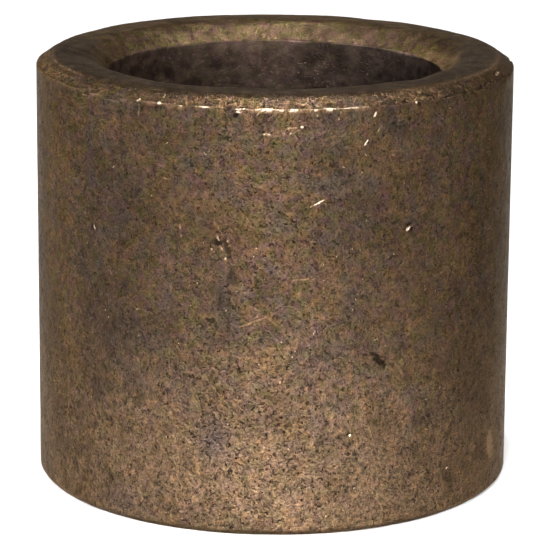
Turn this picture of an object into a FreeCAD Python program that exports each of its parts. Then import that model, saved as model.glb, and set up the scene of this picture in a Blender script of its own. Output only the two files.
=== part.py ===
import FreeCAD, Part
import math
import os

# Plain sleeve bushing (a cylindrical sleeve bearing), pressed and sintered from bronze powder and
# filled with oil. It is one solid ring: a bore that a shaft turns in, and an outside that is pressed
# into a housing. There is no flange, no seam, no liner and no oil groove.
#
# Frame, in millimetres: +Z runs up the bore's axis, and the origin is the middle of the lower end
# face, so the bushing stands on Z = 0.

# --- Driving dimensions ---------------------------------------------------------------------------
BORE_DIAMETER = 14.0
OUTER_DIAMETER = 20.0
LENGTH = 18.0

# The lead-in chamfer outside the upper end is wider than it is tall.
LEAD_IN_WIDTH = 0.65
LEAD_IN_HEIGHT = 0.45

# The lower end's outer edge is only broken, at 45 degrees.
EDGE_BREAK = 0.25

# The bore opens out at 45 degrees at both ends.
BORE_CHAMFER = 0.8

# --- Worked out from the driving dimensions ---------------------------------------------------------
BORE_RADIUS = BORE_DIAMETER / 2
OUTER_RADIUS = OUTER_DIAMETER / 2
MOUTH_RADIUS = BORE_RADIUS + BORE_CHAMFER
WALL = OUTER_RADIUS - BORE_RADIUS
UPPER_FACE_WIDTH = WALL - BORE_CHAMFER - LEAD_IN_WIDTH
BORE_WALL_LENGTH = LENGTH - 2 * BORE_CHAMFER
SEAT_LENGTH = LENGTH - EDGE_BREAK - LEAD_IN_HEIGHT

AXIS_POINT = FreeCAD.Vector(0, 0, 0)
AXIS_DIRECTION = FreeCAD.Vector(0, 0, 1)
FULL_TURN = 360
SMALLEST_FACE_WIDTH = 0.5
VOLUME_TOLERANCE = 1e-6


def wall_section():
    """The wall's section as (radius, height) corners, from the lower bore mouth round outwards."""
    return [
        (MOUTH_RADIUS, 0),
        (OUTER_RADIUS - EDGE_BREAK, 0),
        (OUTER_RADIUS, EDGE_BREAK),
        (OUTER_RADIUS, LENGTH - LEAD_IN_HEIGHT),
        (OUTER_RADIUS - LEAD_IN_WIDTH, LENGTH),
        (MOUTH_RADIUS, LENGTH),
        (BORE_RADIUS, LENGTH - BORE_CHAMFER),
        (BORE_RADIUS, BORE_CHAMFER),
    ]


def turned_volume(section):
    """Volume that the section sweeps in a full turn, by Pappus's rule taken edge by edge."""
    total = 0
    for (r0, z0), (r1, z1) in zip(section, section[1:] + section[:1]):
        total += (z1 - z0) * (r0 * r0 + r0 * r1 + r1 * r1)
    return math.pi * total / 3


def make_sleeve():
    """The bushing: its wall section, turned once round the bore's axis."""
    corners = [FreeCAD.Vector(radius, 0, height) for radius, height in wall_section()]
    outline = Part.makePolygon(corners + corners[:1])
    return Part.Face(outline).revolve(AXIS_POINT, AXIS_DIRECTION, FULL_TURN)


def check_sleeve(sleeve):
    """Stop if the solid isn't the one that the driving dimensions describe."""
    if UPPER_FACE_WIDTH < SMALLEST_FACE_WIDTH:
        raise ValueError("the chamfers leave no flat end face")
    if not sleeve.isValid() or len(sleeve.Solids) != 1:
        raise ValueError("the sleeve isn't one valid solid")
    expected = turned_volume(wall_section())
    if abs(sleeve.Volume - expected) > VOLUME_TOLERANCE * expected:
        raise ValueError("the sleeve's volume isn't its section's")


sleeve = make_sleeve()
check_sleeve(sleeve)
os.makedirs("parts", exist_ok=True)
sleeve.exportStep("parts/sleeve.step")

print("bore wall length", BORE_WALL_LENGTH, "mm, outer seat length", SEAT_LENGTH, "mm")
print("upper end face width", round(UPPER_FACE_WIDTH, 3), "mm")
print("volume", round(sleeve.Volume, 2), "mm3")
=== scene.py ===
import math
import random
from collections import namedtuple

import bmesh
import bpy
import numpy as np
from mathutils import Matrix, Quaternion, Vector, noise


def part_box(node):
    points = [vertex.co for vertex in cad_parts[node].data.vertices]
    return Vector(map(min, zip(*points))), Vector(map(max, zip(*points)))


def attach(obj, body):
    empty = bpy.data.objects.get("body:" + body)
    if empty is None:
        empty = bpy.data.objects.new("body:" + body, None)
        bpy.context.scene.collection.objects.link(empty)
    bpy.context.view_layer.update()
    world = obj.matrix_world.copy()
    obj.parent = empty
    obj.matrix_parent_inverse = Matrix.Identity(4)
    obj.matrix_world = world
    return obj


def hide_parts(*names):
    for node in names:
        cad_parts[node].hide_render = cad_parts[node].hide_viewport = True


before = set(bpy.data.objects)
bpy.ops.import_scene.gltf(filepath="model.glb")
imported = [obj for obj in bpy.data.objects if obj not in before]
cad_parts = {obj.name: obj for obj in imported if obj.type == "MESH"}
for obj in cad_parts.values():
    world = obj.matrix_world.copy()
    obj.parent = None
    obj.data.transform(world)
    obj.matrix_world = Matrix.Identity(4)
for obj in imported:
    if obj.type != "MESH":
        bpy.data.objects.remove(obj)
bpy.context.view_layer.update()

# Lengths are in millimetres, and MM turns them into metres when a mesh is made or the camera is placed.
# Only the floor's half-width, the clip distances and the lights are given in metres.
# Azimuths are in degrees round the bore's axis: 0 faces the camera (-Y) and 90 is +X.
MM = 0.001

# --- The sleeve's section, read from the CAD node ---------------------------------------------------
NODE = "sleeve"
BODY = "root"
LEVEL_TOLERANCE = 1e-3

low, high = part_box(NODE)
CENTRE = (low + high) / 2
LENGTH = (high.z - low.z) / MM
OUTER_RADIUS = (high.x - low.x) / 2 / MM

cad_points = np.array([vertex.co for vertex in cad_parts[NODE].data.vertices]) / MM
cad_radius = np.hypot(cad_points[:, 0], cad_points[:, 1])
cad_height = cad_points[:, 2]


def radii_at(height):
    """Smallest and largest radius of the CAD node at one height."""
    chosen = cad_radius[np.abs(cad_height - height) < LEVEL_TOLERANCE]
    return float(chosen.min()), float(chosen.max())


def heights_at(radius):
    """Lowest and highest point of the CAD node's wall at one radius."""
    chosen = cad_height[np.abs(cad_radius - radius) < LEVEL_TOLERANCE]
    return float(chosen.min()), float(chosen.max())


BORE_RADIUS = float(cad_radius.min())
LOWER_MOUTH, LOWER_FACE_RADIUS = radii_at(0)
UPPER_MOUTH, UPPER_FACE_RADIUS = radii_at(LENGTH)
SEAT_LOW, SEAT_HIGH = heights_at(OUTER_RADIUS)
BORE_LOW, BORE_HIGH = heights_at(BORE_RADIUS)

# Each corner of the section: radius, height, the radius that wear has rounded it to, and the spacing
# of the rings along the straight stretch that follows it.
Corner = namedtuple("Corner", "radius height rounding spacing")
SECTION = [
    Corner(LOWER_MOUTH, 0, 0.10, 0.35),
    Corner(LOWER_FACE_RADIUS, 0, 0.07, 0.16),
    Corner(OUTER_RADIUS, SEAT_LOW, 0.12, 0.18),
    Corner(OUTER_RADIUS, SEAT_HIGH, 0.05, 0.09),
    Corner(UPPER_FACE_RADIUS, LENGTH, 0.80, 0.12),
    Corner(UPPER_MOUTH, LENGTH, 0.95, 0.12),
    Corner(BORE_RADIUS, BORE_HIGH, 0.15, 0.65),
    Corner(BORE_RADIUS, BORE_LOW, 0.15, 0.35),
]
COLUMNS = 384
ARC_STEPS = 4

# How unevenly the corners are worn: the rounding varies by about this factor each way, over this stretch.
WEAR_FACTOR = 1.7
WEAR_STRETCH = 2.5

# --- The surface's relief, as depths below the CAD surface ------------------------------------------
WAVE_SIZE, WAVE_DEPTH = 2.2, 0.012
GRAIN_SIZE, GRAIN_BASE = 0.33, 0.25
WALL_GRAIN = 0.006
FACE_GRAIN = 0.010
LEAD_IN_GRAIN = 0.030
BORE_GRAIN = 0.006

# A mark is a dent, a gouge or a scratch on the outer wall or on the lead-in above it. It is an ellipse
# with a ragged outline, sloping up to the right by `slope` degrees. `dirt` darkens it and its last field
# brightens it with bare metal.
Mark = namedtuple("Mark", "azimuth height length width depth slope dirt bare")
MARKS = [
    # The scuffed patch under the upper edge, at the front.
    Mark(-1.7, 16.55, 0.35, 0.09, 0.020, 0, 0.0, 0.7),
    Mark(-2.6, 16.65, 0.30, 0.08, 0.020, 20, 0.8, 0.0),
    Mark(0.8, 16.60, 0.70, 0.30, 0.010, 20, 0.0, 0.2),
    Mark(2.1, 16.60, 0.12, 0.10, 0.010, 0, 0.0, 0.6),
    Mark(3.7, 16.80, 0.50, 0.06, 0.010, 5, 0.0, 0.55),
    Mark(3.6, 16.60, 0.14, 0.09, 0.010, 90, 0.0, 0.6),
    Mark(4.8, 16.65, 0.40, 0.09, 0.015, 30, 0.0, 0.4),
    Mark(6.9, 16.80, 0.14, 0.09, 0.020, 0, 1.0, 0.0),
    Mark(6.2, 16.85, 0.18, 0.14, 0.010, 20, 0.0, 0.85),
    Mark(6.2, 16.00, 0.35, 0.08, 0.030, -50, 0.9, 0.0),
    # Scratches.
    Mark(21.1, 16.10, 0.42, 0.09, 0.020, 55, 0.0, 0.9),
    Mark(24.1, 16.55, 0.25, 0.08, 0.020, 60, 0.0, 0.45),
    Mark(23.2, 17.20, 0.25, 0.12, 0.030, 60, 0.0, 0.8),
    Mark(10.2, 13.80, 0.70, 0.08, 0.020, 27, 0.0, 0.85),
    Mark(-21.8, 12.65, 0.30, 0.08, 0.020, -80, 0.0, 0.5),
    Mark(-21.5, 12.30, 0.14, 0.09, 0.020, -40, 0.0, 0.6),
    Mark(6.6, 10.70, 1.10, 0.07, 0.012, 3, 0.0, 0.35),
    Mark(-4.7, 8.95, 1.70, 0.08, 0.015, 22, 0.0, 0.3),
    Mark(-32.4, 17.15, 0.55, 0.07, 0.020, 85, 0.0, 0.45),
    # The dent left of the middle, with bright specks and dirt trailing down from it.
    Mark(-12.8, 12.15, 0.42, 0.34, 0.060, 0, 0.9, 0.0),
    Mark(-12.7, 12.30, 0.28, 0.08, 0.010, -60, 0.0, 0.75),
    Mark(-10.6, 11.90, 1.15, 0.24, 0.035, -72, 0.7, 0.0),
    Mark(-11.8, 11.90, 0.25, 0.08, 0.010, -60, 0.0, 0.6),
    Mark(-10.9, 11.50, 0.22, 0.08, 0.010, -70, 0.0, 0.7),
    Mark(-14.1, 11.85, 0.10, 0.09, 0.010, 0, 0.0, 0.7),
    Mark(-10.4, 12.20, 0.12, 0.09, 0.010, 0, 0.0, 0.6),
    Mark(-13.4, 12.90, 0.25, 0.06, 0.010, -70, 0.0, 0.45),
    Mark(-9.2, 10.70, 1.00, 0.36, 0.030, -75, 0.5, 0.0),
    Mark(-11.4, 12.65, 0.55, 0.12, 0.020, 30, 0.5, 0.0),
    Mark(-9.9, 12.05, 0.34, 0.06, 0.010, 40, 0.0, 0.4),
    Mark(-12.0, 12.55, 0.60, 0.05, 0.010, -60, 0.0, 0.3),
    # Other dents, gouges and dark spots.
    Mark(-47.0, 12.00, 0.35, 0.16, 0.050, -60, 0.9, 0.0),
    Mark(-46.4, 12.05, 0.26, 0.08, 0.010, -60, 0.0, 1.0),
    Mark(25.4, 7.10, 0.80, 0.30, 0.070, -38, 1.0, 0.0),
    Mark(24.2, 7.42, 0.60, 0.14, 0.040, -25, 1.0, 0.0),
    Mark(22.2, 7.45, 0.80, 0.07, 0.030, -12, 0.8, 0.0),
    Mark(22.3, 7.05, 0.45, 0.07, 0.030, -42, 0.8, 0.0),
    Mark(20.7, 9.85, 0.50, 0.28, 0.030, -10, 0.5, 0.0),
    Mark(32.6, 12.62, 0.36, 0.20, 0.040, 10, 1.0, 0.0),
    Mark(33.3, 12.40, 0.22, 0.14, 0.040, 90, 1.0, 0.0),
    Mark(32.2, 12.44, 0.32, 0.16, 0.010, 40, 0.0, 1.0),
    Mark(17.8, 4.20, 0.22, 0.18, 0.040, 0, 1.0, 0.0),
    Mark(18.1, 4.15, 0.12, 0.09, 0.010, 0, 0.0, 0.9),
    Mark(45.8, 2.00, 0.14, 0.10, 0.010, 30, 0.0, 0.9),
    Mark(-1.3, 1.00, 0.25, 0.12, 0.040, -20, 1.0, 0.0),
    Mark(66.0, 2.10, 1.60, 0.80, 0.015, -75, 0.0, 0.4),
    # Nicks, chips and cracks along the upper outer edge and in the lead-in above it.
    Mark(-32.5, SEAT_HIGH, 0.18, 0.14, 0.005, 0, 0.0, 1.0),
    Mark(-27.0, SEAT_HIGH, 0.14, 0.12, 0.005, 0, 0.0, 1.0),
    Mark(-16.0, 17.75, 0.30, 0.08, 0.060, 90, 1.0, 0.0),
    Mark(-10.8, 17.70, 0.14, 0.12, 0.040, 0, 0.9, 0.0),
    Mark(-8.6, 17.30, 0.36, 0.20, 0.050, 60, 1.0, 0.0),
    Mark(-8.0, 17.42, 0.30, 0.13, 0.010, 10, 0.0, 1.0),
    Mark(15.5, 17.62, 0.50, 0.12, 0.030, -8, 0.5, 0.0),
    Mark(28.0, 17.58, 0.60, 0.10, 0.040, 5, 0.8, 0.0),
    Mark(31.5, 17.62, 0.55, 0.12, 0.070, 12, 1.0, 0.0),
    Mark(35.0, 17.45, 0.30, 0.15, 0.050, -50, 0.7, 0.0),
    Mark(33.6, 17.68, 0.40, 0.28, 0.030, 0, 0.0, 0.3),
    Mark(34.1, 17.53, 0.13, 0.12, 0.010, 0, 0.0, 1.0),
    Mark(37.8, 17.74, 0.75, 0.11, 0.070, -12, 1.0, 0.0),
    Mark(39.6, 17.60, 0.22, 0.09, 0.030, 35, 0.9, 0.0),
    Mark(38.7, 17.55, 0.25, 0.08, 0.020, 35, 0.0, 0.7),
    Mark(45.2, 17.62, 1.30, 0.11, 0.070, 8, 0.9, 0.0),
    Mark(58.0, 17.62, 1.80, 0.11, 0.070, 5, 0.9, 0.0),
    Mark(49.9, 17.82, 0.28, 0.09, 0.030, 90, 0.0, 0.5),
    Mark(59.2, 17.65, 0.22, 0.09, 0.030, 90, 0.0, 0.8),
    Mark(70.0, 17.76, 0.90, 0.16, 0.060, 0, 0.6, 0.0),
    Mark(70.8, 17.78, 0.50, 0.09, 0.010, 0, 0.0, 0.6),
    Mark(95.0, SEAT_HIGH, 0.70, 0.30, 0.160, 0, 0.5, 0.0),
]

# Soft patches that darken the wall, up to 14 mm long. Those whose `dark` is below zero brighten it
# instead.
WallPatch = namedtuple("WallPatch", "azimuth height length width slope dark")
WALL_PATCHES = [
    WallPatch(-11.0, 9.8, 4.8, 1.2, -85, 0.30),
    WallPatch(-13.3, 4.0, 2.4, 1.8, -85, 0.42),
    WallPatch(12.0, 7.6, 4.5, 2.4, 20, 0.20),
    WallPatch(12.5, 17.0, 2.2, 1.0, 0, 0.22),
    WallPatch(20.0, 13.8, 1.8, 1.4, 60, 0.12),
    WallPatch(22.0, 3.4, 2.2, 1.6, 70, 0.12),
    WallPatch(-38.0, 8.0, 3.6, 2.6, 20, 0.30),
    WallPatch(-48.0, 14.0, 3.0, 1.6, 90, 0.14),
    WallPatch(29.0, 12.5, 1.8, 1.4, 30, -0.22),
    WallPatch(-20.6, 12.0, 2.0, 1.2, -60, -0.18),
    WallPatch(-24.3, 16.7, 1.8, 0.9, 0, -0.22),
    WallPatch(-38.0, 17.0, 1.6, 0.9, 0, 0.24),
    WallPatch(-22.0, 6.4, 2.2, 2.0, 0, 0.16),
    WallPatch(31.0, 5.6, 4.0, 2.4, 80, -0.24),
    WallPatch(-38.4, 2.9, 3.6, 2.0, -10, -0.24),
    WallPatch(-10.0, 1.3, 4.0, 1.2, 0, -0.12),
    WallPatch(10.5, 12.6, 2.0, 1.2, 20, -0.10),
    WallPatch(50.0, 15.8, 3.6, 2.2, -20, -0.16),
    WallPatch(34.5, 0.6, 2.6, 1.0, 0, -0.22),
    WallPatch(60.0, 9.5, 7.0, 4.0, 85, 0.12),
    WallPatch(58.0, 4.5, 4.0, 4.0, 85, 0.12),
    WallPatch(-60.0, 3.0, 4.0, 3.0, 85, 0.10),
    WallPatch(-38.0, 0.8, 3.4, 1.8, 0, 0.20),
    WallPatch(5.0, 5.2, 1.6, 1.2, 0, 0.14),
    WallPatch(31.0, 7.0, 2.0, 1.6, 0, -0.14),
    WallPatch(-38.0, 13.6, 3.6, 1.8, 80, 0.16),
    WallPatch(-34.0, 6.0, 1.8, 1.4, 0, 0.15),
    WallPatch(-47.0, 9.5, 14.0, 2.6, 90, 0.14),
    WallPatch(-66.0, 12.5, 9.0, 2.0, 90, -0.14),
    WallPatch(39.0, 8.0, 14.0, 2.2, 90, -0.10),
    WallPatch(7.0, 8.6, 1.6, 1.3, 0, 0.16),
    WallPatch(-23.0, 1.6, 1.6, 1.2, 0, -0.12),
]

# How sharply a patch fades towards its outline.
PATCH_FALLOFF = 2

# The flat end faces get painted shade, which gives way towards the back (+Y) to painted light. The bore
# gets painted shade towards +X and painted light towards -X.
FACE_PAINTED_SHADE, BACK_PAINTED_LIGHT, BORE_PAINTED_SHADE_AND_LIGHT = 0.20, 0.75, 0.45

# The edges of each face that reaches into one of these marks, or this close to it, are cut this many
# times.
REFINE_CUTS = 3
REFINE_MARGIN = 0.12

# How ragged a mark's outline is.
OUTLINE_SIZE, OUTLINE_RAGGEDNESS = 0.12, 0.9

# The upper end is rubbed bright over these stretches: azimuth of the middle and half-width, in degrees.
# Along the rim and the shoulder the brightness is partly wear and partly a painted highlight. The rim is
# the upper outer edge, and the shoulder is where the lead-in meets the end face. Between the stretches
# the least share of the rubbing is left. The rubbing of an edge fades to nothing as far from the edge as
# its core times its width.
RIM_RUB_AND_HIGHLIGHT_STRETCHES = [(-3, 32), (110, 18), (163, 26), (-118, 22)]
RIM_WIDTH, RIM_CORE, RIM_LEAST = 0.042, 1.6, 0.12
LEAD_IN_STRETCHES = [(12, 58), (150, 60)]
LEAD_IN_LEAST = 0.45
SHOULDER_RUB_AND_HIGHLIGHT_STRETCHES = [(-72, 24), (62, 34), (150, 30), (-140, 26)]
SHOULDER_WIDTH, SHOULDER_CORE, SHOULDER_LEAST = 0.12, 1.5, 0.0
# How bright the shoulder's painted highlight is.
SHOULDER_PAINTED_HIGHLIGHT = 0.50

# The rubbing and painted highlight on the rim, and the dirt above it, are broken up by noise of this size.
BREAK_SIZE, BREAK_GAIN, BREAK_BASE = 0.35, 1.6, 0.95

# Bright flecks lie along the bore's upper edge.
FLECK_SIZE, FLECK_GAIN, FLECK_CUT = 0.22, 4, 1.5
FLECK_REACH, FLECK_CORE, FLECK_SHINE = 0.08, 2.5, 0.6

# Dirt lies in the lead-in, just above the rim.
DIRT_LINE_OFFSET, DIRT_LINE_WIDTH, DIRT_LINE = 0.11, 0.05, 0.45

# How wide the blend is where one zone of the surface meets the next, and where the flat end face meets
# the bore's chamfer.
ZONE_BLEND = 0.1
FLAT_BLEND = 0.3

# Small pits lie all over the wall, and small chips all round the upper outer edge. Each pair is the
# range that the value is drawn from.
PIT_SEED = 5
PITS = 420
PIT_LENGTH, PIT_SHAPE, PIT_DEPTH = (0.18, 0.42), (0.4, 0.9), (0.010, 0.035)
PIT_SLOPE, PIT_DIRT = (-90, 90), (0, 0.5)
CHIPS = 70
CHIP_RISE, CHIP_LENGTH, CHIP_WIDTH = (-0.05, 0.1), (0.2, 0.8), (0.12, 0.25)
CHIP_DEPTH, CHIP_SLOPE, CHIP_DIRT = (0.02, 0.07), (-15, 15), (0, 0.6)

# Noise is read from another part of its space for each seed.
SEED_STEPS = (17.3, 5.7, 11.9)
WAVE_SEED, GRAIN_SEED, OUTLINE_SEED, BREAK_SEED, FLECK_SEED = 21, 22, 23, 24, 25


def noise_at(points, size, seed):
    """Smooth noise from -1 to 1 at each point, with blobs about `size` across."""
    shift = Vector([seed * step for step in SEED_STEPS])
    return np.array([noise.noise(Vector(point) + shift) for point in points / size])


def ring_wear(azimuths, index):
    """The factor on a corner's rounding at each azimuth."""
    on_circle = np.stack([np.cos(azimuths), np.sin(azimuths), np.zeros_like(azimuths)], axis=1)
    return WEAR_FACTOR ** (2 * noise_at(on_circle * OUTER_RADIUS, WEAR_STRETCH, index + 1))


def section_rings(azimuths):
    """Radii and heights of every ring, one value for each azimuth, with the corners rounded."""
    corners = np.array([(corner.radius, corner.height) for corner in SECTION])
    ahead = np.roll(corners, -1, axis=0) - corners
    ahead /= np.hypot(ahead[:, 0], ahead[:, 1])[:, None]
    behind = np.roll(ahead, 1, axis=0)
    turns = np.arccos((ahead * behind).sum(axis=1))
    rounding = np.array([corner.rounding * ring_wear(azimuths, i) for i, corner in enumerate(SECTION)])
    trims = rounding * np.tan(turns / 2)[:, None]
    rings = []
    for i, corner in enumerate(SECTION):
        begin = corners[i] - behind[i] * trims[i][:, None]
        outward = np.array([behind[i][1], -behind[i][0]])
        middle = begin - outward * rounding[i][:, None]
        for step in range(ARC_STEPS + 1):
            angle = turns[i] * step / ARC_STEPS
            out = outward * math.cos(angle) + behind[i] * math.sin(angle)
            rings.append(middle + out * rounding[i][:, None])
        following = (i + 1) % len(SECTION)
        begin = corners[i] + ahead[i] * trims[i][:, None]
        end = corners[following] - ahead[i] * trims[following][:, None]
        steps = round(float(np.hypot(*(corners[following] - corners[i]))) / corner.spacing)
        for step in range(1, steps):
            rings.append(begin + (end - begin) * step / steps)
    return np.array(rings)


def ring_mesh():
    """The section turned round the axis, as one closed grid of quads, in millimetres."""
    azimuths = 2 * np.pi * np.arange(COLUMNS) / COLUMNS
    rings = section_rings(azimuths)
    vertices = np.stack([
        rings[:, :, 0] * np.sin(azimuths),
        -rings[:, :, 0] * np.cos(azimuths),
        rings[:, :, 1],
    ], axis=2).reshape(-1, 3)
    faces = []
    for ring in range(len(rings)):
        above = (ring + 1) % len(rings)
        for column in range(COLUMNS):
            beside = (column + 1) % COLUMNS
            faces.append((
                ring * COLUMNS + column,
                ring * COLUMNS + beside,
                above * COLUMNS + beside,
                above * COLUMNS + column,
            ))
    mesh = bpy.data.meshes.new("sleeve_surface")
    mesh.from_pydata(vertices.tolist(), [], faces)
    return mesh


def radius_and_height(points):
    return np.hypot(points[:, 0], points[:, 1]), points[:, 2]


def unrolled(points, azimuth, height):
    """Distance along the wall and up it from one place on it, for each point."""
    angles = np.arctan2(points[:, 0], -points[:, 1]) - math.radians(azimuth)
    angles = (angles + np.pi) % (2 * np.pi) - np.pi
    return angles * OUTER_RADIUS, points[:, 2] - height


def in_mark(points, mark, margin=0.0):
    """How far out each point is in a mark, squared: 0 at its middle and 1 at its outline."""
    along, up = unrolled(points, mark.azimuth, mark.height)
    c, s = math.cos(math.radians(mark.slope)), math.sin(math.radians(mark.slope))
    u = (along * c + up * s) / (mark.length / 2 + margin)
    v = (up * c - along * s) / (mark.width / 2 + margin)
    return u * u + v * v


def outer_side(points):
    """True for the points that a mark can reach: the outer wall and the lead-in above it."""
    radius, _ = radius_and_height(points)
    return radius > (UPPER_FACE_RADIUS + UPPER_MOUTH) / 2


def refine(mesh):
    """Divides the faces round each mark, so that the mesh can hold its shape."""
    points = vertex_points(mesh)
    reach = np.zeros(len(points), bool)
    for mark in MARKS:
        reach |= in_mark(points, mark, REFINE_MARGIN) < 1
    reach &= outer_side(points) & (points[:, 2] > 0)
    grid = bmesh.new()
    grid.from_mesh(mesh)
    grid.verts.ensure_lookup_table()
    near = {grid.verts[index] for index in np.flatnonzero(reach)}
    faces = {face for vertex in near for face in vertex.link_faces}
    edges = {edge for face in faces for edge in face.edges}
    bmesh.ops.subdivide_edges(grid, edges=list(edges), cuts=REFINE_CUTS, use_grid_fill=True)
    grid.to_mesh(mesh)
    grid.free()


def vertex_points(mesh):
    points = np.empty(len(mesh.vertices) * 3)
    mesh.vertices.foreach_get("co", points)
    return points.reshape(-1, 3)


def vertex_normals(mesh):
    normals = np.empty(len(mesh.vertices) * 3)
    mesh.vertex_normals.foreach_get("vector", normals)
    return normals.reshape(-1, 3)


def grain_depth(points):
    """How deep the grain is at each point. It is deepest in the lead-in."""
    radius, height = radius_and_height(points)
    lead_in = (radius > UPPER_FACE_RADIUS) & (height > SEAT_HIGH)
    ends = (height > SEAT_HIGH) | (height < SEAT_LOW)
    in_bore = radius < UPPER_MOUTH
    return np.select([lead_in, ends, in_bore], [LEAD_IN_GRAIN, FACE_GRAIN, BORE_GRAIN], WALL_GRAIN)


def scattered_marks():
    """The small pits and edge chips, placed at random from a fixed seed."""
    draw = random.Random(PIT_SEED)
    scattered = []
    for _ in range(PITS):
        length = draw.uniform(*PIT_LENGTH)
        scattered.append(Mark(
            azimuth=draw.uniform(0, 360),
            height=draw.uniform(SEAT_LOW, SEAT_HIGH),
            length=length,
            width=length * draw.uniform(*PIT_SHAPE),
            depth=draw.uniform(*PIT_DEPTH),
            slope=draw.uniform(*PIT_SLOPE),
            dirt=draw.uniform(*PIT_DIRT),
            bare=0.0,
        ))
    for _ in range(CHIPS):
        scattered.append(Mark(
            azimuth=draw.uniform(0, 360),
            height=SEAT_HIGH + draw.uniform(*CHIP_RISE),
            length=draw.uniform(*CHIP_LENGTH),
            width=draw.uniform(*CHIP_WIDTH),
            depth=draw.uniform(*CHIP_DEPTH),
            slope=draw.uniform(*CHIP_SLOPE),
            dirt=draw.uniform(*CHIP_DIRT),
            bare=0.0,
        ))
    return scattered


def stretch_share(points, stretches, least):
    """From 0 to 1, how far each point's azimuth lies within the stretches, with the least share between them.
    """
    share = np.full(len(points), least)
    for azimuth, half_width in stretches:
        along, _ = unrolled(points, azimuth, 0)
        reach = math.radians(half_width) * OUTER_RADIUS
        share = np.maximum(share, np.clip(2 - 2 * np.abs(along) / reach, 0, 1))
    return share


def edge_distance(points, edge_radius, edge_height):
    """Distance from a corner of the section, for each point."""
    radius, height = radius_and_height(points)
    return np.hypot(radius - edge_radius, height - edge_height)


def soft_step(distance, blend):
    """From 0 to 1 as the distance passes zero, over a blend that wide."""
    return np.clip(distance / blend + 0.5, 0, 1)


def press_marks(points, depth):
    """Adds every mark to the depths, and gives the dirt and the bare metal that they leave."""
    dirt = np.zeros(len(points))
    bare = np.zeros(len(points))
    outside = outer_side(points)
    ragged = noise_at(points, OUTLINE_SIZE, OUTLINE_SEED) * OUTLINE_RAGGEDNESS
    for mark in MARKS + scattered_marks():
        inside = np.flatnonzero(outside & (in_mark(points, mark, REFINE_MARGIN) < 1))
        share = np.clip(1 - in_mark(points[inside], mark) * (1 + ragged[inside]), 0, 1)
        depth[inside] += mark.depth * share
        share = np.minimum(share * 2, 1)
        dirt[inside] = np.maximum(dirt[inside], mark.dirt * share) * (1 - mark.bare * share)
        bare[inside] = np.maximum(bare[inside] * (1 - mark.dirt * share), mark.bare * share)
    return dirt, bare


def wear_edges(points, dirt, bare):
    """The dirt and the bare metal, with the edges' wear, the painted highlights along the rim and the
    shoulder, and the dirt above the rim added.
    """
    _, height = radius_and_height(points)
    broken = np.clip(noise_at(points, BREAK_SIZE, BREAK_SEED) * BREAK_GAIN + BREAK_BASE, 0, 1)
    from_rim = edge_distance(points, OUTER_RADIUS, SEAT_HIGH)
    rim_wear_and_highlight = np.clip(RIM_CORE - from_rim / RIM_WIDTH, 0, 1) * stretch_share(points, RIM_RUB_AND_HIGHLIGHT_STRETCHES, RIM_LEAST)
    from_shoulder = edge_distance(points, UPPER_FACE_RADIUS, LENGTH)
    shoulder_wear_and_highlight = np.clip(SHOULDER_CORE - from_shoulder / SHOULDER_WIDTH, 0, 1)
    shoulder_wear_and_highlight *= stretch_share(points, SHOULDER_RUB_AND_HIGHLIGHT_STRETCHES, SHOULDER_LEAST)
    # The rim and the shoulder lines are partly worn metal and partly painted highlights.
    bare = np.maximum(bare, np.maximum(rim_wear_and_highlight * broken, shoulder_wear_and_highlight * SHOULDER_PAINTED_HIGHLIGHT) * (1 - dirt))

    line = np.clip(1 - np.abs(from_rim - DIRT_LINE_OFFSET) / DIRT_LINE_WIDTH, 0, 1)
    line *= height > SEAT_HIGH
    dirt = np.maximum(dirt, line * broken * DIRT_LINE * (1 - bare))

    flecks = np.clip(noise_at(points, FLECK_SIZE, FLECK_SEED) * FLECK_GAIN - FLECK_CUT, 0, 1)
    flecks *= height > BORE_HIGH + FLECK_REACH / 2
    from_bore = edge_distance(points, BORE_RADIUS, BORE_HIGH)
    along_bore = np.clip(FLECK_CORE - from_bore / FLECK_REACH, 0, 1)
    bare = np.maximum(bare, FLECK_SHINE * flecks * along_bore)
    return dirt, bare


def zone_shares(points):
    """How far each point belongs to the lead-in, to all that lies inside it, and to the bore's wall."""
    radius, height = radius_and_height(points)
    lead_in = soft_step(radius - UPPER_FACE_RADIUS, ZONE_BLEND) * soft_step(height - SEAT_HIGH, ZONE_BLEND)
    inner = soft_step(UPPER_FACE_RADIUS - radius, ZONE_BLEND)
    bore = soft_step(UPPER_MOUTH - radius, ZONE_BLEND) * soft_step(BORE_HIGH - height, ZONE_BLEND)
    return lead_in, inner, bore


def patches_and_painted_light_at(points, inner, bore):
    """How far each point is darkened, or brightened where the value is below zero: the wall's patches, and
    the painted shade and light on the flat end faces and in the bore.
    """
    radius, _ = radius_and_height(points)
    outside = outer_side(points)
    patches_and_painted_light = np.zeros(len(points))
    for patch in WALL_PATCHES:
        patches_and_painted_light += patch.dark * np.exp(-PATCH_FALLOFF * in_mark(points, patch)) * outside
    flat = inner * soft_step(radius - UPPER_MOUTH, FLAT_BLEND)
    # Painted shade on the flat end faces, turning to painted light towards the back.
    patches_and_painted_light += flat * (FACE_PAINTED_SHADE - BACK_PAINTED_LIGHT * np.clip(points[:, 1] / OUTER_RADIUS, 0, 1))
    # Painted shade on the bore's +X side and painted light on its -X side.
    patches_and_painted_light += bore * BORE_PAINTED_SHADE_AND_LIGHT * points[:, 0] / BORE_RADIUS
    return patches_and_painted_light


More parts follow.
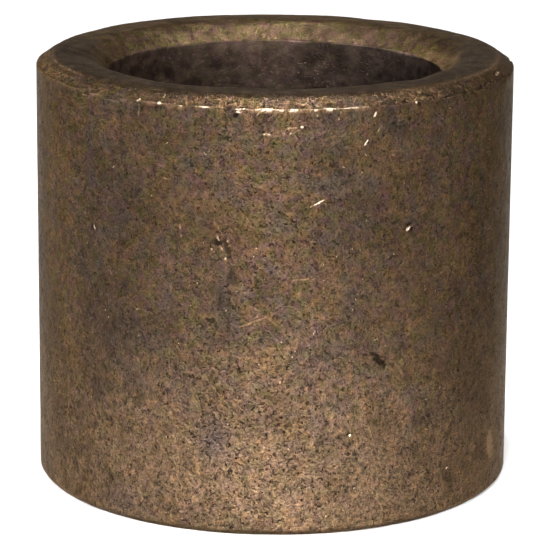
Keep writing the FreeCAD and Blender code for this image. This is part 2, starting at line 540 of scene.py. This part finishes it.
def relief(points):
    """Depth at each point of the surface, and what the material needs to know there, by name."""
    waves = noise_at(points, WAVE_SIZE, WAVE_SEED) * 0.5 + 0.5
    grain = np.clip(noise_at(points, GRAIN_SIZE, GRAIN_SEED) + GRAIN_BASE, 0, 1)
    depth = WAVE_DEPTH * waves + grain_depth(points) * grain
    dirt, bare = press_marks(points, depth)
    dirt, bare = wear_edges(points, dirt, bare)
    lead_in, inner, bore = zone_shares(points)
    return depth, {
        "dirt": dirt,
        "bare": bare,
        "lead_in": lead_in * stretch_share(points, LEAD_IN_STRETCHES, LEAD_IN_LEAST),
        "inner": inner,
        "bore": bore,
        "patches_and_painted_light": patches_and_painted_light_at(points, inner, bore),
    }


def make_sleeve():
    """The visible sleeve: the turned section, with its relief pressed into it."""
    mesh = ring_mesh()
    refine(mesh)
    points = vertex_points(mesh)
    depth, attributes = relief(points)
    points -= vertex_normals(mesh) * depth[:, None]
    mesh.vertices.foreach_set("co", (points * MM).ravel())
    for name, values in attributes.items():
        mesh.attributes.new(name, "FLOAT", "POINT").data.foreach_set("value", values)
    mesh.polygons.foreach_set("use_smooth", [True] * len(mesh.polygons))
    mesh.update()
    piece = bpy.data.objects.new("sleeve_surface", mesh)
    bpy.context.scene.collection.objects.link(piece)
    return piece


# --- Materials -------------------------------------------------------------------------------------
PURPLE_BROWN = (0.068, 0.039, 0.032)
OLIVE_BROWN = (0.059, 0.046, 0.020)
ORANGE_BROWN = (0.100, 0.055, 0.025)
RUST_BROWN = (0.082, 0.046, 0.022)
HANDLED_BROWN = (0.074, 0.047, 0.027)
COOL_GREY = (0.049, 0.039, 0.033)
DARKENED_PURPLE = (0.060, 0.044, 0.040)
INNER_PURPLE = (0.098, 0.056, 0.042)
INNER_OLIVE = (0.088, 0.068, 0.027)
BORE_PURPLE = (0.078, 0.054, 0.052)
PORE_BLACK = (0.008, 0.006, 0.005)
WARM_BRONZE = (0.250, 0.148, 0.078)
# Bare bronze, which is also the colour of the painted highlights along the rim and the shoulder.
BARE_AND_HIGHLIGHT_BRONZE = (0.66, 0.55, 0.43)
GRAZING_TINT = (0.52, 0.49, 0.455)
FLOOR_WHITE = (0.86, 0.86, 0.86)
FLOOR_ROUGHNESS = 0.9
FLOOR_HALF_WIDTH = 2.0

# A layer is noise with blobs about `size` millimetres across, whose range low..high is taken to
# to_low..to_high. Every layer has a seed of its own. The drift is in millimetres.
Layer = namedtuple("Layer", "size detail seed low high to_low to_high", defaults=(0.0, 1.0))
DRIFT = Layer(5.0, 3, 12, 0, 1, -3, 3)
TONE = Layer(0.42, 2, 0, 0.36, 0.64)
WARMTH = Layer(0.36, 2, 31, 0.48, 0.66, 0.0, 0.65)
RUST = Layer(2.2, 3, 91, 0.46, 0.64, 0.0, 0.38)
COOLNESS = Layer(0.90, 2, 47, 0.50, 0.68, 0.0, 0.60)
INNER_TONE = Layer(0.34, 3, 67, 0.41, 0.59)
INNER_MOTTLE = Layer(0.55, 4, 53, 0.35, 0.65, 0.70, 1.34)
CLOUDS = Layer(4.0, 2, 3, 0.30, 0.70, 0.85, 1.15)
BLOTCHES = Layer(1.3, 3, 61, 0.48, 0.68, 1.03, 0.80)
MOTTLE = Layer(0.40, 2, 5, 0.30, 0.70, 0.88, 1.12)
PORE_PATCHES = Layer(0.8, 2, 17, 0.36, 0.46)
STROKE_PATCHES = Layer(0.20, 0, 41, 0.49, 0.56)
FLECK_PATCHES = Layer(1.0, 2, 71, 0.45, 0.55, 0.1, 0.50)
CRYSTALS = Layer(0.15, 1, 27, 0.52, 0.66, 0.0, 0.32)
WORN_AND_HIGHLIGHT_PATCHES = Layer(0.10, 1, 83, 0.36, 0.52, 0.50, 1.0)
ROUGHNESS = Layer(0.5, 2, 23, 0.3, 0.7, 0.36, 0.50)

# Hands have rubbed the sleeve cleaner low down, and there the colour is also painted brighter, as painted
# light: fully below the first height, and not above the second, give or take the drift.
HANDLED_AND_GLOW_HEIGHTS = (3.0, 9.5)

# Each pair is a value where the sleeve isn't handled and painted brighter, and where it is.
RUST_SHARE = (1.0, 0.3)
COOL_SHARE = (1.0, 0.20)
SPECKLE_GAIN = (2.05, 2.9)
# Painted light: the lower zone's colour is painted about a third brighter than the upper part's.
PAINTED_LOW_GLOW = (0.93, 1.25)
PORE_STRENGTH = (0.8, 1.0)
BUMP_DEPTH = (0.040, 0.064)

# How far handling draws the tone to an even one, and the colour to the handled brown.
HANDLED_TONE_SHARE, EVEN_TONE = 0.40, 0.5
HANDLED_COLOUR_SHARE = 0.4

# Each pair is a factor on the outside of the sleeve, and inside its lead-in or in its bore.
INNER_PORES, BORE_PORES = (1.0, 0.35), (1.0, 0.35)
INNER_BUMP, BORE_BUMP = (1.0, 0.34), (1.0, 0.30)
INNER_AND_BORE_SPECKLE = (1.0, 0.35)

# How far the colour is drawn to the one for each zone, and to the purple of darkened places.
INNER_COLOUR_SHARE = 0.78
BORE_COLOUR_SHARE = 0.5
DARKENED_COLOUR_GAIN, DARKENED_COLOUR_SHARE = 2.0, 0.8

# The grain is a mix of fine and medium noise: size, seed and distortion of each, and the share that is
# medium.
FINE_GRAIN, MEDIUM_GRAIN = (0.12, 7, 1.5), (0.25, 19, 1.5)
MEDIUM_SHARE = 0.46
NOISE_MIDDLE = 0.5

# Spots: spacing and radius in millimetres. Pores and flecks are ragged, apart from flecks in the bore.
PORE_SPACING, PORE_RADIUS = 0.24, 0.036
FLECK_SPACING, FLECK_RADIUS, BORE_FLECK_RADIUS, FLECK_OFFSET = 0.48, 0.030, 0.034, 9
SPOT_EDGE = 1.6
RAGGED_SIZE, RAGGED_REACH = 0.25, 0.5

# Pores also run along the lines where one more noise crosses its middle: size, seed, distortion, and
# how far from the middle the dark is full and where it ends.
STROKE_NOISE = (0.24, 37, 1.0)
STROKE_CORE, STROKE_EDGE, STROKE_STRENGTH = 0.018, 0.045, 0.8

PORE_DARKNESS = 0.85
PORE_BUMP = 0.045
LEAD_IN_BUMP = 0.018
DARK_ROUGHENING = 0.25
BRIGHT_SMOOTHING = 0.12

# The patina gives way to metal as the brightness rises to the first value, and the metal turns from warm
# to bare over the range.
BRIGHT_FULL = 0.8
METAL_RANGE = (0.35, 0.85)


def new_material(name):
    material = bpy.data.materials.new(name)
    material.use_nodes = True
    return material


class Nodes:
    """Makes one material's nodes. Apart from put and vector, each method gives the socket of its result."""

    # A Mix node has sockets for every type of data, and these are the ones for values and colours.
    VALUE_SOCKETS = (2, 3, 0)
    COLOUR_SOCKETS = (6, 7, 2)

    def __init__(self, tree):
        self.tree = tree
        coordinates = tree.nodes.new("ShaderNodeTexCoord").outputs["Object"]
        millimetres = self.vector("SCALE", coordinates)
        millimetres.inputs["Scale"].default_value = 1 / MM
        self.place = millimetres.outputs["Vector"]

    def put(self, value, socket):
        """Links a node's output to a socket, or sets the socket to a plain value."""
        if isinstance(value, bpy.types.NodeSocket):
            self.tree.links.new(value, socket)
        elif isinstance(value, tuple):
            socket.default_value = value + (1,) * (len(socket.default_value) - len(value))
        else:
            socket.default_value = value

    def vector(self, operation, *values):
        """A vector node with its inputs filled in order. It gives the node, not a socket."""
        node = self.tree.nodes.new("ShaderNodeVectorMath")
        node.operation = operation
        for socket, value in zip(node.inputs, values):
            self.put(value, socket)
        return node

    def calculate(self, operation, a, b=0.0):
        node = self.tree.nodes.new("ShaderNodeMath")
        node.operation = operation
        self.put(a, node.inputs[0])
        self.put(b, node.inputs[1])
        return node.outputs["Value"]

    def add(self, a, b):
        return self.calculate("ADD", a, b)

    def subtract(self, a, b):
        return self.calculate("SUBTRACT", a, b)

    def greater(self, a, b):
        return self.calculate("MAXIMUM", a, b)

    def multiply(self, first, *others):
        for other in others:
            first = self.calculate("MULTIPLY", first, other)
        return first

    def remap(self, value, low, high, to_low=0.0, to_high=1.0):
        """Takes the range low..high to to_low..to_high, and stops at both ends."""
        node = self.tree.nodes.new("ShaderNodeMapRange")
        for socket, number in zip(node.inputs[:5], (value, low, high, to_low, to_high)):
            self.put(number, socket)
        return node.outputs["Result"]

    def between(self, share, ends):
        """The first of two values where the share is 0, and the second where it is 1."""
        return self.remap(share, 0, 1, *ends)

    def mix(self, node, factor, a, b, sockets):
        first, second, result = sockets
        self.put(factor, node.inputs["Factor"])
        self.put(a, node.inputs[first])
        self.put(b, node.inputs[second])
        return node.outputs[result]

    def mix_values(self, factor, a, b):
        return self.mix(self.tree.nodes.new("ShaderNodeMix"), factor, a, b, self.VALUE_SOCKETS)

    def mix_colours(self, factor, a, b, blend="MIX"):
        node = self.tree.nodes.new("ShaderNodeMix")
        node.data_type = "RGBA"
        node.blend_type = blend
        return self.mix(node, factor, a, b, self.COLOUR_SOCKETS)

    def moved(self, place, offset):
        return self.vector("ADD", place, (offset, offset, offset)).outputs["Vector"]

    def noise(self, size, detail, seed, distortion=0.0):
        """Noise of about 0.25 to 0.75, with blobs about `size` millimetres across."""
        node = self.tree.nodes.new("ShaderNodeTexNoise")
        node.inputs["Scale"].default_value = 1 / size
        node.inputs["Detail"].default_value = detail
        node.inputs["Distortion"].default_value = distortion
        self.put(self.moved(self.place, seed), node.inputs["Vector"])
        return node.outputs["Fac"]

    def grain_noise(self, grain):
        size, seed, distortion = grain
        return self.noise(size, 0, seed, distortion)

    def layer(self, layer):
        field = self.noise(layer.size, layer.detail, layer.seed)
        return self.remap(field, layer.low, layer.high, layer.to_low, layer.to_high)

    def spots(self, place, spacing, radius, offset=0.0):
        """1 inside small round spots scattered about `spacing` millimetres apart, and 0 between them."""
        node = self.tree.nodes.new("ShaderNodeTexVoronoi")
        node.inputs["Scale"].default_value = 1 / spacing
        self.put(self.moved(place, offset), node.inputs["Vector"])
        edge = SPOT_EDGE * radius / spacing
        return self.remap(node.outputs["Distance"], radius / spacing, edge, 1.0, 0.0)

    def ragged_place(self):
        """The place, shifted by noise so that round spots come out ragged."""
        wobble = self.tree.nodes.new("ShaderNodeTexNoise")
        wobble.inputs["Scale"].default_value = 1 / RAGGED_SIZE
        self.put(self.place, wobble.inputs["Vector"])
        reach = (RAGGED_REACH, RAGGED_REACH, RAGGED_REACH)
        return self.vector("MULTIPLY_ADD", wobble.outputs["Color"], reach, self.place).outputs["Vector"]

    def attribute(self, name):
        node = self.tree.nodes.new("ShaderNodeAttribute")
        node.attribute_name = name
        return node.outputs["Fac"]

    def height_above_base(self):
        split = self.tree.nodes.new("ShaderNodeSeparateXYZ")
        self.put(self.place, split.inputs[0])
        return split.outputs["Z"]


def patina_colour(nodes, handled_and_painted_glow, inner, bore, patches_and_painted_light):
    """The mottled browns, before light and dark are laid over them."""
    tone = nodes.mix_values(nodes.multiply(handled_and_painted_glow, HANDLED_TONE_SHARE), nodes.layer(TONE), EVEN_TONE)
    colour = nodes.mix_colours(tone, PURPLE_BROWN, OLIVE_BROWN)
    colour = nodes.mix_colours(nodes.layer(WARMTH), colour, ORANGE_BROWN)
    colour = nodes.mix_colours(nodes.multiply(handled_and_painted_glow, HANDLED_COLOUR_SHARE), colour, HANDLED_BROWN)
    rust = nodes.multiply(nodes.layer(RUST), nodes.between(handled_and_painted_glow, RUST_SHARE))
    colour = nodes.mix_colours(rust, colour, RUST_BROWN)
    cool = nodes.multiply(nodes.layer(COOLNESS), nodes.between(handled_and_painted_glow, COOL_SHARE))
    colour = nodes.mix_colours(cool, colour, COOL_GREY)
    inside = nodes.mix_colours(nodes.layer(INNER_TONE), INNER_PURPLE, INNER_OLIVE)
    colour = nodes.mix_colours(nodes.multiply(inner, INNER_COLOUR_SHARE), colour, inside)
    colour = nodes.mix_colours(nodes.multiply(bore, BORE_COLOUR_SHARE), colour, BORE_PURPLE)
    # Darkened places, the painted shade on the end faces and in the bore among them, are drawn to purple.
    purple_share = nodes.between(nodes.multiply(patches_and_painted_light, DARKENED_COLOUR_GAIN), (0.0, DARKENED_COLOUR_SHARE))
    return nodes.mix_colours(purple_share, colour, DARKENED_PURPLE)


def patina_shade(nodes, handled_and_painted_glow, inner, bore, patches_and_painted_light, grain):
    """How light or dark the patina is: the factor on its colour, painted brighter low down and with painted
    shade and light on the end faces and in the bore.
    """
    gain = nodes.between(handled_and_painted_glow, SPECKLE_GAIN)
    gain = nodes.multiply(gain, nodes.remap(nodes.add(inner, bore), 0, 2, *INNER_AND_BORE_SPECKLE))
    speckle = nodes.multiply(nodes.subtract(grain, NOISE_MIDDLE), gain)
    return nodes.multiply(
        nodes.layer(CLOUDS),
        nodes.layer(MOTTLE),
        nodes.add(speckle, 1.0),
        nodes.layer(BLOTCHES),
        nodes.between(handled_and_painted_glow, PAINTED_LOW_GLOW),
        nodes.mix_values(inner, 1.0, nodes.layer(INNER_MOTTLE)),
        # The wall's patches, and the painted shade and light on the end faces and in the bore.
        nodes.subtract(1.0, patches_and_painted_light),
    )


def pore_strength(nodes, handled_and_painted_glow, inner, bore, ragged_place):
    """From 0 to 1, how far each place is in a pore: a ragged spot or a short curved stroke."""
    dots = nodes.multiply(nodes.spots(ragged_place, PORE_SPACING, PORE_RADIUS), nodes.layer(PORE_PATCHES))
    crossing = nodes.subtract(nodes.grain_noise(STROKE_NOISE), NOISE_MIDDLE)
    lines = nodes.remap(nodes.calculate("ABSOLUTE", crossing), STROKE_CORE, STROKE_EDGE, STROKE_STRENGTH, 0.0)
    strokes = nodes.multiply(lines, nodes.layer(STROKE_PATCHES))
    return nodes.multiply(
        nodes.greater(dots, strokes),
        nodes.between(handled_and_painted_glow, PORE_STRENGTH),
        nodes.between(inner, INNER_PORES),
        nodes.between(bore, BORE_PORES),
    )


def bright_metal(nodes, lead_in, bore, ragged_place):
    """From 0 to 1, how bare the metal is: flecks, crystals in the lead-in, marks and worn edges, and the
    painted highlights along the rim and the shoulder.
    """
    ragged = nodes.spots(ragged_place, FLECK_SPACING, FLECK_RADIUS, FLECK_OFFSET)
    round_ones = nodes.spots(nodes.place, FLECK_SPACING, BORE_FLECK_RADIUS, FLECK_OFFSET)
    flecks = nodes.multiply(nodes.mix_values(bore, ragged, round_ones), nodes.layer(FLECK_PATCHES))
    crystals = nodes.multiply(nodes.layer(CRYSTALS), lead_in)
    worn_and_highlight = nodes.multiply(nodes.attribute("bare"), nodes.layer(WORN_AND_HIGHLIGHT_PATCHES))
    return nodes.greater(nodes.greater(flecks, crystals), worn_and_highlight)


def bronze_material():
    """Oily sintered bronze: mottled browns, fine bright grain, dark pores, bare metal where worn, painted
    highlights along the upper edges, and painted light and shade low down, on the end faces and in the bore.
    """
    material = new_material("sintered_bronze")
    nodes = Nodes(material.node_tree)
    shader = material.node_tree.nodes["Principled BSDF"]
    ragged_place = nodes.ragged_place()
    lead_in, inner, bore, patches_and_painted_light = (nodes.attribute(name) for name in ("lead_in", "inner", "bore", "patches_and_painted_light"))
    drifting_height = nodes.add(nodes.height_above_base(), nodes.layer(DRIFT))
    # The handled zone low down, which is also painted brighter as painted light.
    handled_and_painted_glow = nodes.remap(drifting_height, *HANDLED_AND_GLOW_HEIGHTS, 1.0, 0.0)
    grain = nodes.mix_values(MEDIUM_SHARE, nodes.grain_noise(FINE_GRAIN), nodes.grain_noise(MEDIUM_GRAIN))

    colour = patina_colour(nodes, handled_and_painted_glow, inner, bore, patches_and_painted_light)
    shade = patina_shade(nodes, handled_and_painted_glow, inner, bore, patches_and_painted_light, grain)
    colour = nodes.mix_colours(1.0, colour, shade, "MULTIPLY")
    pores = pore_strength(nodes, handled_and_painted_glow, inner, bore, ragged_place)
    dark = nodes.greater(pores, nodes.attribute("dirt"))
    colour = nodes.mix_colours(nodes.multiply(dark, PORE_DARKNESS), colour, PORE_BLACK)
    bright = bright_metal(nodes, lead_in, bore, ragged_place)
    metal = nodes.mix_colours(nodes.remap(bright, *METAL_RANGE), WARM_BRONZE, BARE_AND_HIGHLIGHT_BRONZE)
    colour = nodes.mix_colours(nodes.remap(bright, 0.0, BRIGHT_FULL), colour, metal)
    nodes.put(colour, shader.inputs["Base Color"])

    rough = nodes.add(nodes.layer(ROUGHNESS), nodes.multiply(dark, DARK_ROUGHENING))
    rough = nodes.subtract(rough, nodes.multiply(bright, BRIGHT_SMOOTHING))
    nodes.put(rough, shader.inputs["Roughness"])
    nodes.put(1.0, shader.inputs["Metallic"])
    nodes.put(GRAZING_TINT, shader.inputs["Specular Tint"])

    depth = nodes.add(nodes.between(handled_and_painted_glow, BUMP_DEPTH), nodes.multiply(lead_in, LEAD_IN_BUMP))
    depth = nodes.multiply(depth, nodes.between(inner, INNER_BUMP), nodes.between(bore, BORE_BUMP))
    height = nodes.subtract(nodes.multiply(grain, depth), nodes.multiply(pores, PORE_BUMP))
    bump = material.node_tree.nodes.new("ShaderNodeBump")
    bump.inputs["Distance"].default_value = MM
    nodes.put(height, bump.inputs["Height"])
    nodes.put(bump.outputs["Normal"], shader.inputs["Normal"])
    return material


def make_floor():
    material = new_material("pale_floor")
    shader = material.node_tree.nodes["Principled BSDF"]
    shader.inputs["Base Color"].default_value = FLOOR_WHITE + (1,)
    shader.inputs["Roughness"].default_value = FLOOR_ROUGHNESS
    half = FLOOR_HALF_WIDTH
    corners = [(-half, -half, 0), (half, -half, 0), (half, half, 0), (-half, half, 0)]
    mesh = bpy.data.meshes.new("floor")
    mesh.from_pydata(corners, [], [(0, 1, 2, 3)])
    mesh.materials.append(material)
    floor = bpy.data.objects.new("floor", mesh)
    bpy.context.scene.collection.objects.link(floor)
    return floor


# --- Camera and light -------------------------------------------------------------------------------
# The camera looks along +Y and down. It aims a little to the right of the sleeve's centre and below it.
CAMERA_DISTANCE = 134.4
CAMERA_ELEVATION = 14.2
CAMERA_ROLL = 0.43
AIM_RIGHT, AIM_DOWN = 0.065, 0.66
SENSOR_WIDTH, FOCAL_LENGTH = 36, 206.4
CLIP_NEAR, CLIP_FAR = 0.01, 20

WORLD_STRENGTH = 0.40
FULL_SPREAD = 180

# Round lights that face the sleeve's centre: degrees, then metres, then watts.
SoftLight = namedtuple("SoftLight", "name azimuth elevation distance size power")
SOFT_LIGHTS = [
    SoftLight("front", -4, 22, 0.30, 0.06, 0.80),
    SoftLight("front_right", 30, 10, 0.30, 0.08, 0.17),
    SoftLight("front_left", -60, 20, 0.30, 0.08, 0.36),
    SoftLight("right", 60, 20, 0.30, 0.08, 0.19),
    SoftLight("high_left", -90, 60, 0.25, 0.12, 0.15),
    SoftLight("high_right", 90, 60, 0.25, 0.12, 0.24),
    SoftLight("left", -100, 15, 0.30, 0.08, 0.38),
    SoftLight("back_left", -140, 20, 0.30, 0.08, 0.28),
]

# Small lights that stand at one place and face another, in metres, with a narrow spread in degrees.
AimedLight = namedtuple("AimedLight", "name place target size power spread")
AIMED_LIGHTS = [
    AimedLight("low_front", (0, -0.06, 0.015), (-0.0005, -0.010, -0.006), 0.02, 0.0033, 40),
    AimedLight("floor_front", (0, -0.03, 0.07), (0, -0.020, 0), 0.02, 0.0048, 40),
    AimedLight("down_bore", (0, 0, 0.129), (0, 0, 0), 0.01, 0.0020, 30),
]


def place_camera():
    elevation = math.radians(CAMERA_ELEVATION)
    back = Vector((0, -math.cos(elevation), math.sin(elevation)))
    up = Vector((0, math.sin(elevation), math.cos(elevation)))
    right = Vector((1, 0, 0))
    position = CENTRE + back * (CAMERA_DISTANCE * MM)
    aim = CENTRE + right * AIM_RIGHT * MM - up * AIM_DOWN * MM
    roll = Quaternion((0, 0, 1), math.radians(CAMERA_ROLL))
    data = bpy.data.cameras.new("camera")
    data.sensor_width = SENSOR_WIDTH
    data.lens = FOCAL_LENGTH
    data.clip_start = CLIP_NEAR
    data.clip_end = CLIP_FAR
    camera = bpy.data.objects.new("camera", data)
    bpy.context.scene.collection.objects.link(camera)
    camera.location = position
    camera.rotation_mode = "QUATERNION"
    camera.rotation_quaternion = (aim - position).to_track_quat("-Z", "Y") @ roll
    bpy.context.scene.camera = camera


def add_light(name, place, target, size, power, spread):
    """A round area light at one place that faces another."""
    data = bpy.data.lights.new(name, "AREA")
    data.shape = "DISK"
    data.size = size
    data.energy = power
    data.spread = math.radians(spread)
    lamp = bpy.data.objects.new(name, data)
    bpy.context.scene.collection.objects.link(lamp)
    lamp.location = place
    lamp.rotation_mode = "QUATERNION"
    lamp.rotation_quaternion = (Vector(target) - Vector(place)).to_track_quat("-Z", "Y")
    lamp.visible_camera = False


def light_studio():
    world = bpy.data.worlds.new("studio")
    bpy.context.scene.world = world
    world.use_nodes = True
    background = world.node_tree.nodes["Background"]
    background.inputs["Color"].default_value = (1, 1, 1, 1)
    background.inputs["Strength"].default_value = WORLD_STRENGTH
    for light in SOFT_LIGHTS:
        a, e = math.radians(light.azimuth), math.radians(light.elevation)
        away = Vector((math.sin(a) * math.cos(e), -math.cos(a) * math.cos(e), math.sin(e)))
        add_light(light.name, CENTRE + away * light.distance, CENTRE, light.size, light.power, FULL_SPREAD)
    for light in AIMED_LIGHTS:
        add_light(*light)


bpy.context.scene.view_settings.view_transform = "Standard"
place_camera()
light_studio()
sleeve = make_sleeve()
sleeve.data.materials.append(bronze_material())
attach(sleeve, BODY)
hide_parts(NODE)
make_floor()
